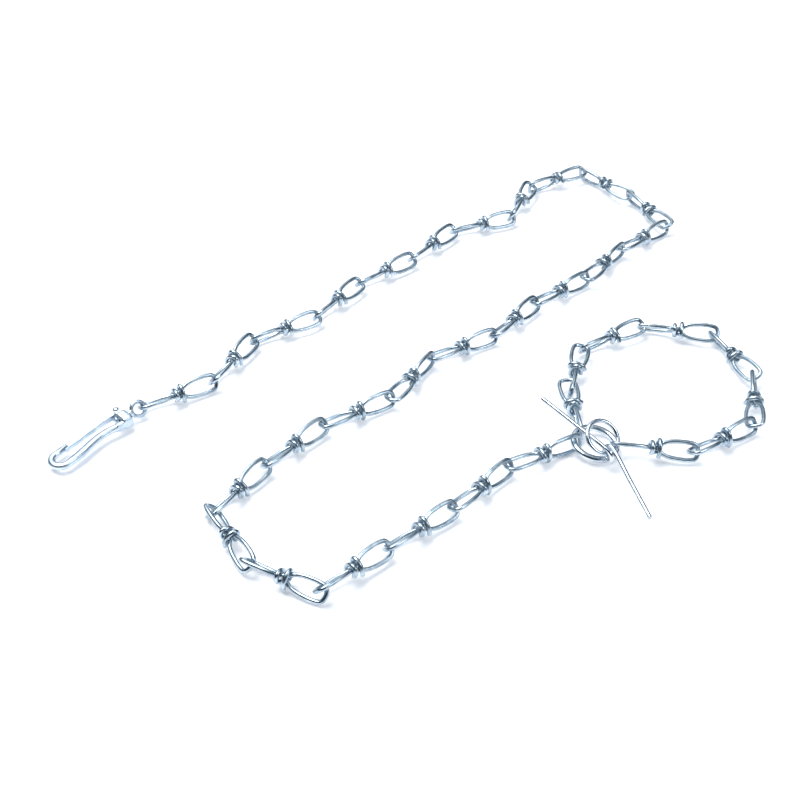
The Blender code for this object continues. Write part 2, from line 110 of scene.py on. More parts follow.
# ---------------------------------------------------------------- snap hook and toggle
HOOK_HEADING = 223.0
HOOK_DIP = 2.6
EYE_WIRE = 0.0024
EYE_RADIUS = 0.0040
SHANK_RADIUS = 0.0016
COLLAR_RADIUS = 0.0018
SHANK_END = 0.0150
HEAD_RADIUS = 0.0025
HEAD_LENGTH = 0.0016
COLLAR_FLARE = ((0.9, 0.0), (1.05, 0.0008))     # share of its radius, distance past the eye
HEAD_DOME = ((0.96, 0.0), (1.0, 0.35), (0.9, 0.7), (0.5, 0.9375), (0.15, 1.0))  # shares of the head
HOUSING_START = 0.0066
HOUSING_END = 0.0129
HOUSING_HALF = 0.0034
HOUSING_SIDES = (-0.0029, 0.0062)
HOUSING_ROUNDING = 0.0016
WEB_INTO_HOUSING = 0.0020
WEB_AHEAD = 0.0040
WEB_SIDES = (0.0030, 0.0001)    # below the housing's upper side
WEB_HALF = 0.0023
WEB_ROUNDING = 0.0008
BORE_RADIUS = 0.0020
HEAD_PLAY = 0.0004
BORE_MIDDLE = 0.004
BORE_LENGTH = 0.030
HEAD_ROOM = 0.0040
PIN_X = 0.0104
PIN_Y = -0.0048
PIN_RADIUS = 0.0008
PIN_PLAY = 0.0003
PIN_HEAD_RADIUS = 0.0014
PIN_HEAD = 0.0006
PIN_HEAD_GAP = 0.00025
PIN_HEAD_FLAT = 0.08         # share of the head's radius
PIN_HOLE_LENGTH = 0.020
CHEEK_THICKNESS = 0.0010
CHEEK_RADIUS = 0.0019
CHEEK_INTO_HOUSING = 0.0008
CHEEK_ROUNDING = 0.0001
GATE_HALF = 0.0018
GATE_THICKNESS = 0.0006
KNUCKLE_RADIUS = 0.0015
GATE_TIP = (0.0456, 0.0007)
GATE_CURL = range(330, 60, -15)         # degrees round the pin
GATE_CROWN = (0.0030, 0.0006)           # past the curl: distance from the pin, height off the line
GATE_NARROWING = 0.18
GATE_NARROWS_OVER = (0.2, 0.7)          # shares of the strip's length
BACK_SHAPE = (
    (0.0100, 0.0044, 0.0017, 0.0021),
    (0.0160, 0.0044, 0.0019, 0.0020),
    (0.0205, 0.0038, 0.0020, 0.0019),
    (0.0265, 0.0041, 0.0021, 0.0019),
    (0.0330, 0.0056, 0.0023, 0.0019),
    (0.0405, 0.0079, 0.0024, 0.0019),
)
BOWL_CENTRE = (0.0503, 0.0046)
BOWL_RADIUS = 0.0053
BOWL_WIDTH = 0.0020
BOWL_HEIGHT = 0.0019
BOWL_TURN = range(108, -100, -23)       # degrees
NOSE_SHAPE = (
    (0.0462, -0.0015, 0.0016, 0.0017),
    (0.0430, -0.0023, 0.0012, 0.0015),
)
TOGGLE_WIRE = 0.0024
TOGGLE_ARM = 0.0452
TOGGLE_SPLAY = 13.0
TOGGLE_EYE_RADIUS = 0.0038
TOGGLE_HEADING = -58.5
TOGGLE_DIP = 10.5
TOGGLE_EYE_STEPS = 16

HOOK_SQUARENESS = 0.82       # of the bar's section: 1 is round, 0 is square
GATE_SQUARENESS = (0.22, 0.5)           # across the strip, through it
CAST_SMOOTHING = 5
EYE_SMOOTHING = 4

# ---------------------------------------------------------------- mesh fineness
WIRE_SIDES = 18
FINE_SIDES = 24
RING_SIDES = 28
TURNED_SIDES = 40
STEP_ALONG = 0.0006          # between two rings of a wire's mesh
EYE_STEP = 0.0004
GATE_STEP = 0.0004
HOOK_STEP = 0.0005
VOXEL = 0.00022              # of the cast hook's surface
SHARP_ANGLE = 50.0           # faces that meet at more than this many degrees show an edge
GRAIN = "grain_place"        # vertex attribute that the plating's noise reads
GRAIN_SHIFT = (0.21, 0.13, 0.17)

# worn edge of a cut wire end, as shares of its diameter and of its radius
END_EDGE = 0.07
END_FACE = 0.86


# ================================================================ frames
def frame_at(heading, roll=0.0, dip=0.0):
    turn = Matrix.Rotation(math.radians(heading), 4, "Z")
    slope = Matrix.Rotation(math.radians(dip), 4, "Y")
    return turn @ slope @ Matrix.Rotation(math.radians(roll), 4, "X")


def frame_from(x_axis, z_axis):
    x_axis = x_axis.normalized()
    y_axis = z_axis.cross(x_axis).normalized()
    return Matrix((x_axis, y_axis, x_axis.cross(y_axis))).transposed().to_4x4()


def axis_of(matrix, index):
    return matrix.to_3x3().col[index].normalized()


def coupling_frame():
    side = Matrix.Rotation(math.radians(RING_TILT_TOWARDS), 4, "Z")
    tilt = Matrix.Rotation(math.radians(-RING_TILT), 4, "Y")
    return Matrix.Translation(RING_CENTRE) @ side @ tilt @ side.inverted()


def contact_direction(parent_frame, child_frame, parent_wire, child_wire):
    ahead = axis_of(child_frame, 0)
    behind = axis_of(parent_frame, 0)
    by_parent = ahead - ahead.dot(parent_wire) * parent_wire
    by_child = behind - behind.dot(child_wire) * child_wire
    return (by_parent.normalized() + by_child.normalized()).normalized()


def outer_height(lay, index, last_height):
    if index + 1 == len(lay):
        return last_height
    near = frame_at(*lay[index][:2])
    far = frame_at(*lay[index + 1][:2])
    rise = contact_direction(near, far, axis_of(near, 2), axis_of(far, 1)).z
    return CENTRE_HEIGHT + rise * (LINK_WIRE + PLAY + lay[index + 1][2] / 1000) / 2


def lay_chain(lay, start_angle, last_height=CENTRE_HEIGHT):
    """World matrices of the links, one hung in another, the first on the coupling ring."""
    turn = coupling_frame() @ Matrix.Rotation(math.radians(start_angle), 4, "Z")
    end_place = turn @ Vector((RING_RADIUS, 0, 0))
    end_wire = axis_of(turn, 1)
    end_radius = RING_WIRE / 2
    parent_frame = frame_at(start_angle)
    worlds = []
    for index, (heading, roll, slack) in enumerate(lay):
        level = frame_at(heading, roll)
        towards = contact_direction(parent_frame, level, end_wire, axis_of(level, 1))
        own_end = end_place - towards * (end_radius + LINK_WIRE / 2 + PLAY + slack / 1000)
        drop = own_end.z - outer_height(lay, index, last_height)
        parent_frame = frame_at(heading, roll, math.degrees(math.asin(drop / (2 * REACH))))
        world = Matrix.Translation(own_end + axis_of(parent_frame, 0) * REACH) @ parent_frame
        worlds.append(world)
        end_place = world @ Vector((REACH, 0, 0))
        end_wire = axis_of(parent_frame, 2)
        end_radius = LINK_WIRE / 2
    return worlds


# ================================================================ wire meshes
def smooth_path(points, step, closed=False):
    """Even points along a centripetal Catmull-Rom curve through the given ones."""
    points = [Vector(p) for p in points]
    count = len(points)
    fine = []
    for i in range(count if closed else count - 1):
        if closed:
            p0, p1, p2, p3 = (points[(i + k) % count] for k in (-1, 0, 1, 2))
        else:
            p1, p2 = points[i], points[i + 1]
            p0 = points[i - 1] if i else p1 * 2 - p2
            p3 = points[i + 2] if i + 2 < count else p2 * 2 - p1
        t1 = (p1 - p0).length ** 0.5
        t2 = t1 + (p2 - p1).length ** 0.5
        t3 = t2 + (p3 - p2).length ** 0.5
        pieces = max(2, int((p2 - p1).length / step * 2))
        for k in range(pieces):
            t = t1 + (t2 - t1) * k / pieces
            a1 = p0 * ((t1 - t) / t1) + p1 * (t / t1)
            a2 = p1 * ((t2 - t) / (t2 - t1)) + p2 * ((t - t1) / (t2 - t1))
            a3 = p2 * ((t3 - t) / (t3 - t2)) + p3 * ((t - t2) / (t3 - t2))
            b1 = a1 * ((t2 - t) / t2) + a2 * (t / t2)
            b2 = a2 * ((t3 - t) / (t3 - t1)) + a3 * ((t - t1) / (t3 - t1))
            fine.append(b1 * ((t2 - t) / (t2 - t1)) + b2 * ((t - t1) / (t2 - t1)))
    fine.append(fine[0] if closed else points[-1])
    return even_path(np.array([tuple(p) for p in fine]), step, closed)


def even_path(fine, step, closed):
    gaps = np.linalg.norm(np.diff(fine, axis=0), axis=1)
    along = np.concatenate([[0.0], np.cumsum(gaps)])
    count = int(round(along[-1] / step))
    places = np.linspace(0.0, along[-1], count + 1)
    even = np.stack([np.interp(places, along, fine[:, k]) for k in range(3)], axis=1)
    return even[:-1] if closed else even


def wire_rings(path, closed):
    """Two unit vectors across the path at each point, carried along without twist."""
    if closed:
        tangents = np.roll(path, -1, axis=0) - np.roll(path, 1, axis=0)
    else:
        tangents = np.gradient(path, axis=0)
    tangents /= np.linalg.norm(tangents, axis=1)[:, None]
    side = np.cross(tangents[0], (0.0, 0.0, 1.0) if abs(tangents[0][2]) < 0.9 else (1.0, 0.0, 0.0))
    sides = []
    for tangent in tangents:
        side = side - tangent * side.dot(tangent)
        side /= np.linalg.norm(side)
        sides.append(side)
    sides = np.array(sides)
    return sides, np.cross(tangents, sides), tangents


def wire_mesh(name, path, diameter, closed=False, swell=None, sides=WIRE_SIDES):
    """A round wire along a path, its cut ends flat with a small worn edge."""
    across, up, tangents = wire_rings(path, closed)
    radii = np.full(len(path), diameter / 2)
    if swell is not None:
        radii = radii * swell(len(path))
    if not closed:
        edge = diameter * END_EDGE
        path = np.concatenate([[path[0]], path[:1] + tangents[:1] * edge, path[1:-1],
                               path[-1:] - tangents[-1:] * edge, [path[-1]]])
        across = np.concatenate([across[:1], across, across[-1:]])
        up = np.concatenate([up[:1], up, up[-1:]])
        radii = np.concatenate([[radii[0] * END_FACE], radii, [radii[-1] * END_FACE]])
    angles = np.arange(sides) * 2 * math.pi / sides
    verts = (path[:, None] + radii[:, None, None] * (np.cos(angles)[None, :, None] * across[:, None]
                                                     + np.sin(angles)[None, :, None] * up[:, None]))
    along = np.concatenate([[0.0], np.cumsum(np.linalg.norm(np.diff(path, axis=0), axis=1))])
    grain = np.stack(np.broadcast_arrays(along[:, None], radii[:, None] * np.cos(angles)[None],
                                         radii[:, None] * np.sin(angles)[None]), axis=2)
    faces = row_faces(len(path), sides)
    if closed:
        faces = faces[:-2] + seam_faces(verts, sides)
    mesh = finished_mesh(name, verts.reshape(-1, 3), faces)
    store_grain(mesh, grain.reshape(-1, 3))
    return mesh


def store_grain(mesh, places):
    """Where each vertex lies for the plating's noise; on a wire, X runs along it."""
    if GRAIN in mesh.attributes:
        mesh.attributes.remove(mesh.attributes[GRAIN])
    stored = mesh.attributes.new(GRAIN, "FLOAT_VECTOR", "POINT")
    stored.data.foreach_set("vector", np.asarray(places, dtype=np.float32).ravel())


def grain_of(mesh):
    values = np.empty(len(mesh.vertices) * 3, dtype=np.float32)
    if GRAIN in mesh.attributes:
        mesh.attributes[GRAIN].data.foreach_get("vector", values)
    else:
        mesh.vertices.foreach_get("co", values)
    return values.reshape(-1, 3)


def seam_faces(verts, sides):
    """Faces that join a closed wire's last ring to the first with the least twist."""
    last = verts[-1] - verts[-1].mean(axis=0)
    first = verts[0] - verts[0].mean(axis=0)
    shift = min(range(sides), key=lambda s: float(((last - np.roll(first, -s, axis=0)) ** 2).sum()))
    low = (len(verts) - 1) * sides
    return [(low + k, low + (k + 1) % sides, (k + 1 + shift) % sides, (k + shift) % sides)
            for k in range(sides)]


def row_faces(rows, sides):
    """Faces between rows of a tube's vertices, and its two flat ends."""
    faces = []
    for i in range(rows - 1):
        low = i * sides
        high = low + sides
        for k in range(sides):
            beside = (k + 1) % sides
            faces.append((low + k, low + beside, high + beside, high + k))
    faces.append(tuple(range(sides))[::-1])
    faces.append(tuple((rows - 1) * sides + k for k in range(sides)))
    return faces


def finished_mesh(name, verts, faces):
    mesh = bpy.data.meshes.new(name)
    mesh.from_pydata([tuple(v) for v in verts], [], faces)
    work = bmesh.new()
    work.from_mesh(mesh)
    bmesh.ops.recalc_face_normals(work, faces=work.faces)
    work.to_mesh(mesh)
    work.free()
    mesh.shade_smooth()
    mesh.set_sharp_from_angle(angle=math.radians(SHARP_ANGLE))
    return mesh


# ================================================================ link
def loop_points():
    """One loop of a link from the knot out round its end and back, as (distance out, offset)."""
    shoulder = REACH - LOOP_HALF
    corner = LOOP_HALF * END_CORNER
    half = [*THROAT, (shoulder, LOOP_HALF), (shoulder + corner, corner)]
    return half + [(REACH, 0.0)] + [(out, -offset) for out, offset in half[::-1]]


def wrap_points(turn):
    """Points on the wrap's ellipse, from its short axis through its long one, and a straight tail."""
    angles = [math.radians(turn * i / WRAP_STEPS) for i in range(WRAP_STEPS + 1)]
    points = [Vector((WRAP_SHORT * math.cos(a), WRAP_LONG * math.sin(a))) for a in angles]
    last = angles[-1]
    onward = Vector((-WRAP_SHORT * math.sin(last), WRAP_LONG * math.cos(last))).normalized()
    return points + [points[-1] + onward * WRAP_TAIL]


def link_path(turn):
    """One link's wire: wrap, loop A on -X in the XY plane, loop B on +X in the XZ plane, wrap."""
    wrap_one = [(KNOT_OFFSET, y, z) for y, z in wrap_points(turn)]
    wrap_two = [(-KNOT_OFFSET, -y, -z) for z, y in wrap_points(turn)]
    loop_a = [(-x, y, 0.0) for x, y in loop_points()]
    loop_b = [(x, 0.0, y) for x, y in loop_points()]
    crossing = [(-KNOT_OFFSET, -WAIST_HALF, 0.0), (0.0, -CROSSING, CROSSING),
                (KNOT_OFFSET, 0.0, WAIST_HALF)]
    out_of_one = [(0.0, INNER_BEND, 0.0), (-KNOT_OFFSET, WAIST_HALF, 0.0)]
    into_two = [(KNOT_OFFSET, 0.0, -WAIST_HALF), (0.0, 0.0, -INNER_BEND)]
    return wrap_one[::-1] + out_of_one + loop_a + crossing + loop_b + into_two + wrap_two


# ================================================================ materials
# each plating: dark and light of its clouds, its tint, lowest and highest roughness, how much the
# draw lines are drawn out (less is longer), scale of its pits
PLATING = {
    "zinc_wire": ((0.26, 0.35, 0.42), (0.62, 0.70, 0.76), (0.80, 0.90, 1.0),
                  0.12, 0.30, 0.06, 3200.0),
    "bright_ring": ((0.42, 0.50, 0.57), (0.76, 0.81, 0.86), (0.86, 0.93, 1.0),
                    0.10, 0.24, 0.10, 4200.0),
    "plated_hook": ((0.40, 0.50, 0.60), (0.70, 0.78, 0.85), (0.82, 0.91, 1.0),
                    0.18, 0.36, 0.35, 2400.0),
    "spring_steel": ((0.42, 0.52, 0.60), (0.70, 0.78, 0.84), (0.83, 0.92, 1.0),
                     0.12, 0.28, 0.05, 3600.0),
}
CLOUD_SCALE = 170.0
PATCH_SCALE = 420.0
LINE_SCALE = 1500.0
TINT_SHARE = 0.55
BUMP_STRENGTH = 0.10
BUMP_DEPTH = 0.00006

# sockets of a Mix node that mixes colours
MIX_FACTOR, MIX_A, MIX_B = 0, 6, 7
MIX_RESULT = 2

PAPER_SCALE = 40.0
PAPER_STOPS = ((0.3, (0.90, 0.90, 0.92)), (0.7, (0.93, 0.93, 0.95)))
PAPER_GLOW = (0.95, 0.96, 1.0, 1.0)
PAPER_GLOW_STRENGTH = 0.32


def node(tree, kind, **values):
    made = tree.nodes.new(kind)
    for key, value in values.items():
        if key in made.inputs:
            made.inputs[key].default_value = value
        else:
            setattr(made, key, value)
    return made


def noise(tree, coordinates, scale, stretch=(1.0, 1.0, 1.0), detail=3.0, roughness=0.55):
    """Noise at the given places; a low stretch on an axis draws it out along that axis."""
    mapping = node(tree, "ShaderNodeMapping", Scale=stretch)
    texture = node(tree, "ShaderNodeTexNoise", Scale=scale, Detail=detail, Roughness=roughness)
    tree.links.new(coordinates, mapping.inputs["Vector"])
    tree.links.new(mapping.outputs["Vector"], texture.inputs["Vector"])
    return texture.outputs["Fac"]


def ramp(tree, factor, stops):
    made = tree.nodes.new("ShaderNodeValToRGB")
    points = made.color_ramp.elements
    while len(points) < len(stops):
        points.new(0.5)
    for point, (place, colour) in zip(points, stops):
        point.position = place
        point.color = (*colour, 1.0)
    tree.links.new(factor, made.inputs["Fac"])
    return made.outputs["Color"]


def grey(value):
    return (value, value, value)


def plated_steel(name, dark, light, tint, rough_low, rough_high, streak, pit_scale):
    """Zinc plate: cloudy colour with faint chromate tints, draw lines along X, fine pitting."""
    material = bpy.data.materials.new(name)
    material.use_nodes = True
    tree = material.node_tree
    shader = tree.nodes["Principled BSDF"]
    shader.inputs["Metallic"].default_value = 1.0
    coordinates = node(tree, "ShaderNodeAttribute", attribute_name=GRAIN).outputs["Vector"]
    clouds = noise(tree, coordinates, CLOUD_SCALE, detail=4.0)
    patches = noise(tree, coordinates, PATCH_SCALE, detail=2.0)
    lines = noise(tree, coordinates, LINE_SCALE, stretch=(streak, 1.0, 1.0), detail=2.0)
    pits = noise(tree, coordinates, pit_scale, detail=5.0, roughness=0.7)
    base = ramp(tree, clouds, ((0.30, dark), (0.70, light)))
    tinted = node(tree, "ShaderNodeMix", data_type="RGBA")
    tinted.blend_type = "MULTIPLY"
    tree.links.new(ramp(tree, patches, ((0.45, grey(1.0)), (0.75, tint))), tinted.inputs[MIX_B])
    tree.links.new(base, tinted.inputs[MIX_A])
    tinted.inputs[MIX_FACTOR].default_value = TINT_SHARE
    tree.links.new(tinted.outputs[MIX_RESULT], shader.inputs["Base Color"])
    mixed = node(tree, "ShaderNodeMath", operation="ADD")
    tree.links.new(lines, mixed.inputs[0])
    tree.links.new(pits, mixed.inputs[1])
    rough = ramp(tree, mixed.outputs[0], ((0.35, grey(rough_low)), (1.0, grey(rough_high))))
    tree.links.new(rough, shader.inputs["Roughness"])
    bump = node(tree, "ShaderNodeBump", Strength=BUMP_STRENGTH, Distance=BUMP_DEPTH)
    tree.links.new(mixed.outputs[0], bump.inputs["Height"])
    tree.links.new(bump.outputs["Normal"], shader.inputs["Normal"])
    return material


def floor_material():
    material = bpy.data.materials.new("floor_paper")
    material.use_nodes = True
    tree = material.node_tree
    shader = tree.nodes["Principled BSDF"]
    coordinates = tree.nodes.new("ShaderNodeTexCoord").outputs["Object"]
    paper = ramp(tree, noise(tree, coordinates, PAPER_SCALE), PAPER_STOPS)
    tree.links.new(paper, shader.inputs["Base Color"])
    shader.inputs["Roughness"].default_value = 0.9
    shader.inputs["Specular IOR Level"].default_value = 0.1
    shader.inputs["Emission Color"].default_value = PAPER_GLOW
    shader.inputs["Emission Strength"].default_value = PAPER_GLOW_STRENGTH
    return material


# ================================================================ placing pieces
def piece(name, mesh, world, material, cad_node, body, seed=0):
    """A finished piece: its mesh is turned into its place, its plating's noise shifted by the seed."""
    store_grain(mesh, grain_of(mesh) + np.array(GRAIN_SHIFT) * seed)
    mesh.transform(world)
    mesh.materials.clear()
    mesh.materials.append(material)
    obj = bpy.data.objects.new(name, mesh)
    bpy.context.scene.collection.objects.link(obj)
    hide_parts(cad_node)
    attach(obj, body)
    return obj


def add_links(names, worlds, meshes, material):
    for index, (name, world) in enumerate(zip(names, worlds)):
        mesh = meshes[(index * 2 + index // 3) % len(meshes)].copy()
        piece("wire_" + name, mesh, world, material, name, name, seed=index + 1)


# ================================================================ rings and toggle
def circle(radius, step):
    count = int(2 * math.pi * radius / step)
    angles = np.arange(count) * 2 * math.pi / count
    return np.stack([radius * np.cos(angles), radius * np.sin(angles), np.zeros(count)], axis=1)


def weld_swell(place, width, height):
    """A low bead of weld round the wire, as a factor on its radius along a closed path."""
    def swell(count):
        share = np.arange(count) / count
        away = np.abs((share - place + 0.5) % 1.0 - 0.5)
        ripple = WELD_RIPPLE * np.sin(share * 2 * math.pi * WELD_RIPPLES)
        return 1.0 + (height + ripple) * np.exp(-(away / width) ** 4)
    return swell


def add_rings(material, last_neck):
    mesh = wire_mesh("ring_coupling", circle(RING_RADIUS, STEP_ALONG), RING_WIRE, True,
                     weld_swell(*RING_WELD), sides=RING_SIDES)
    piece("ring_coupling", mesh, coupling_frame(), material, "coupling_ring", "coupling_ring")
    axis = TOGGLE_RING_AXIS.normalized()
    turn = frame_from(Vector((0, 0, 1)).cross(axis), axis)
    at = math.radians(TOGGLE_RING_LINK_AT)
    outward = turn.to_3x3() @ Vector((math.cos(at), math.sin(at), 0))
    wire_place = last_neck @ Vector((REACH, 0, 0)) - axis_of(last_neck, 0) * (LINK_WIRE + PLAY)
    world = Matrix.Translation(wire_place - outward * TOGGLE_RING_RADIUS) @ turn
    mesh = wire_mesh("ring_toggle", circle(TOGGLE_RING_RADIUS, STEP_ALONG), TOGGLE_RING_WIRE, True,
                     weld_swell(*TOGGLE_RING_WELD), sides=FINE_SIDES)
    piece("ring_toggle", mesh, world, material, "toggle_ring", "toggle_ring")
    return world


def toggle_path():
    offset = (TOGGLE_WIRE + PLAY) / 2
    lean = math.radians(TOGGLE_SPLAY)
    reach = Vector((TOGGLE_ARM * math.cos(lean), -TOGGLE_ARM * math.sin(lean), 0.0))
    points = [(-reach.x, reach.y - offset, 0.0), (-reach.x * 0.5, reach.y * 0.5 - offset, 0.0)]
    for i in range(TOGGLE_EYE_STEPS + 1):
        share = i / TOGGLE_EYE_STEPS
        angle = math.radians(90 - 360 * share)
        points.append((TOGGLE_EYE_RADIUS * math.cos(angle), offset * (2 * share - 1),
                       TOGGLE_EYE_RADIUS * (math.sin(angle) - 1)))
    points.append((reach.x * 0.5, reach.y * 0.5 + offset, 0.0))
    points.append((reach.x, reach.y + offset, 0.0))
    return points


def add_toggle(material, ring_world):
    at = math.radians(TOGGLE_RING_EYE_AT)
    outward = ring_world.to_3x3() @ Vector((math.cos(at), math.sin(at), 0))
    turn = frame_at(TOGGLE_HEADING, dip=TOGGLE_DIP)
    centre = ring_world.translation + outward * TOGGLE_RING_RADIUS + axis_of(turn, 2) * TOGGLE_EYE_RADIUS
    path = smooth_path(toggle_path(), STEP_ALONG)
    mesh = wire_mesh("bar_toggle", path, TOGGLE_WIRE, sides=FINE_SIDES)
    world = Matrix.Translation(centre) @ turn
    piece("bar_toggle", mesh, world, material, "toggle_bar", "toggle_bar")


# ================================================================ snap hook
def swept_rows(rows, sides, square):
    """Vertices and faces of a bar along rows of (x, y, half width, half height)."""
    rows = smooth_rows(rows)
    verts = []
    for i, (x, y, width, height) in enumerate(rows):
        before, after = rows[max(i - 1, 0)], rows[min(i + 1, len(rows) - 1)]
        along = Vector((after[0] - before[0], after[1] - before[1])).normalized()
        for k in range(sides):
            angle = 2 * math.pi * (k + 0.5) / sides
            c, s = math.cos(angle), math.sin(angle)
            out = width * math.copysign(abs(c) ** square, c)
            up = height * math.copysign(abs(s) ** square, s)
            verts.append((x - along.y * out, y + along.x * out, up))
    return verts, row_faces(len(rows), sides)


def smooth_rows(rows):
    """Rows at even, fine spacing on a smooth curve through the given ones."""
    path = smooth_path([(x, y, 0.0) for x, y, _, _ in rows], HOOK_STEP)
    knots = np.array(rows)
    gaps = np.linalg.norm(np.diff(knots[:, :2], axis=0), axis=1)
    along = np.concatenate([[0.0], np.cumsum(gaps)])
    share = np.linspace(0.0, along[-1], len(path))
    widths = np.interp(share, along, knots[:, 2])
    heights = np.interp(share, along, knots[:, 3])
    return [(p[0], p[1], w, h) for p, w, h in zip(path, widths, heights)]


def hook_rows():
    rows = list(BACK_SHAPE)
    for degrees in BOWL_TURN:
        angle = math.radians(degrees)
        rows.append((BOWL_CENTRE[0] + BOWL_RADIUS * math.cos(angle),
                     BOWL_CENTRE[1] + BOWL_RADIUS * math.sin(angle), BOWL_WIDTH, BOWL_HEIGHT))
    return rows + list(NOSE_SHAPE)


def solid(name, build):
    """A helper object made in bmesh, to be joined or cut, then deleted."""
    mesh = bpy.data.meshes.new(name)
    work = bmesh.new()
    build(work)
    bmesh.ops.recalc_face_normals(work, faces=work.faces)
    work.to_mesh(mesh)
    work.free()
    obj = bpy.data.objects.new(name, mesh)
    bpy.context.scene.collection.objects.link(obj)
    return obj


def cylinder(work, radius, length, matrix):
    bmesh.ops.create_cone(work, cap_ends=True, segments=TURNED_SIDES, radius1=radius,
                          radius2=radius, depth=length, matrix=matrix)


def rounded_block(work, low, high, edge):
    """A box with rounded edges between two corners."""
    size = Vector(high) - Vector(low)
    middle = (Vector(high) + Vector(low)) / 2
    place = Matrix.Translation(middle) @ Matrix.Diagonal((*size, 1.0))
    bmesh.ops.create_cube(work, size=1.0, matrix=place)
    bmesh.ops.bevel(work, geom=work.edges[:], offset=edge, segments=4, affect="EDGES", profile=0.5)


def combine(target, others, operation):
    for other in others:
        modifier = target.modifiers.new(other.name, "BOOLEAN")
        modifier.operation = operation
        modifier.object = other


def baked(target, helpers):
    """The target's mesh with its modifiers applied; the helpers and the target go."""
    bpy.context.view_layer.update()
    depsgraph = bpy.context.evaluated_depsgraph_get()
    mesh = bpy.data.meshes.new_from_object(target.evaluated_get(depsgraph))
    for obj in [target, *helpers]:
        bpy.data.objects.remove(obj, do_unlink=True)
    mesh.shade_smooth()
    return mesh


def rounded_cast(target, smoothing):
    """Fine even faces and soft corners, as on a casting."""
    remesh = target.modifiers.new("cast_skin", "REMESH")
    remesh.mode = "VOXEL"
    remesh.voxel_size = VOXEL
    smooth = target.modifiers.new("cast_corners", "SMOOTH")
    smooth.factor = 0.5
    smooth.iterations = smoothing


def hook_mesh():
    verts, faces = swept_rows(hook_rows(), RING_SIDES, HOOK_SQUARENESS)
    bar = bpy.data.objects.new("hook_bar", finished_mesh("hook_bar", verts, faces))
    bpy.context.scene.collection.objects.link(bar)
    low, high = HOUSING_SIDES
    housing = solid("hook_housing", lambda work: rounded_block(
        work, (HOUSING_START, low, -HOUSING_HALF), (HOUSING_END, high, HOUSING_HALF),
        HOUSING_ROUNDING))
    web = solid("hook_web", lambda work: rounded_block(
        work, (HOUSING_END - WEB_INTO_HOUSING, high - WEB_SIDES[0], -WEB_HALF),
        (HOUSING_END + WEB_AHEAD, high - WEB_SIDES[1], WEB_HALF), WEB_ROUNDING))
    cheeks = []
    for side in (-1, 1):
        middle = side * (HOUSING_HALF - CHEEK_THICKNESS / 2)
        cheeks.append(solid(f"hook_cheek_{side}", lambda work: cylinder(
            work, CHEEK_RADIUS, CHEEK_THICKNESS, Matrix.Translation((PIN_X, PIN_Y, middle)))))
        cheeks.append(solid(f"hook_lug_{side}", lambda work: rounded_block(
            work, (PIN_X - CHEEK_RADIUS, PIN_Y, middle - CHEEK_THICKNESS / 2),
            (PIN_X + CHEEK_RADIUS, low + CHEEK_INTO_HOUSING, middle + CHEEK_THICKNESS / 2),
            CHEEK_ROUNDING)))
    across = Matrix.Rotation(math.pi / 2, 4, "Y")
    bore = solid("hook_bore", lambda work: cylinder(
        work, BORE_RADIUS, BORE_LENGTH, Matrix.Translation((BORE_MIDDLE, 0, 0)) @ across))
    head_room = solid("hook_head_room", lambda work: cylinder(
        work, HEAD_RADIUS + HEAD_PLAY, HEAD_ROOM,
        Matrix.Translation((HOUSING_END + HEAD_ROOM / 2, 0, 0)) @ across))
    pin_hole = solid("hook_pin_hole", lambda work: cylinder(
        work, PIN_RADIUS + PIN_PLAY, PIN_HOLE_LENGTH, Matrix.Translation((PIN_X, PIN_Y, 0))))
    combine(bar, [housing, web, *cheeks], "UNION")
    combine(bar, [bore, head_room, pin_hole], "DIFFERENCE")
    rounded_cast(bar, CAST_SMOOTHING)
    return baked(bar, [housing, web, *cheeks, bore, head_room, pin_hole])


def turned_mesh(name, profile):
    """A body of revolution about Z from rows of (radius, height)."""
    verts = []
    for radius, height in profile:
        for k in range(TURNED_SIDES):
            angle = 2 * math.pi * k / TURNED_SIDES
            verts.append((radius * math.cos(angle), radius * math.sin(angle), height))
    return finished_mesh(name, verts, row_faces(len(profile), TURNED_SIDES))


def eye_mesh():
    """Round eye in the XZ plane with its headed shank along X."""
    ring = wire_mesh("eye_ring", circle(EYE_RADIUS, EYE_STEP), EYE_WIRE, True, sides=RING_SIDES)
    ring.transform(Matrix.Rotation(math.pi / 2, 4, "X"))
    eye = bpy.data.objects.new("eye_ring", ring)
    bpy.context.scene.collection.objects.link(eye)
    head_start = SHANK_END - HEAD_LENGTH
    profile = [(COLLAR_RADIUS * radius, EYE_RADIUS + past_eye) for radius, past_eye in COLLAR_FLARE]
    profile += [(COLLAR_RADIUS, HOUSING_START - PLAY), (SHANK_RADIUS, HOUSING_START),
                (SHANK_RADIUS, head_start)]
    profile += [(HEAD_RADIUS * radius, head_start + HEAD_LENGTH * share)
                for radius, share in HEAD_DOME]
    shank = bpy.data.objects.new("eye_shank", turned_mesh("eye_shank", profile))
    shank.data.transform(Matrix.Rotation(math.pi / 2, 4, "Y"))
    bpy.context.scene.collection.objects.link(shank)
    combine(eye, [shank], "UNION")
    rounded_cast(eye, EYE_SMOOTHING)
    return baked(eye, [shank])


def gate_path():
    """Centre line of the gate strip: a curl round the pin, a crown, then straight to the nose."""
    root, tip = Vector((PIN_X, PIN_Y)), Vector(GATE_TIP)
    along = (tip - root).normalized()
    across = Vector((-along.y, along.x))
    radius = KNUCKLE_RADIUS - GATE_THICKNESS / 2
    points = []
    for degrees in GATE_CURL:
        angle = math.radians(degrees)
        points.append(root + radius * (math.cos(angle) * along + math.sin(angle) * across))
    points.append(root + along * GATE_CROWN[0] + across * GATE_CROWN[1])
    return points + [root.lerp(tip, share) for share in (0.25, 0.5, 0.75, 0.92, 1.0)]


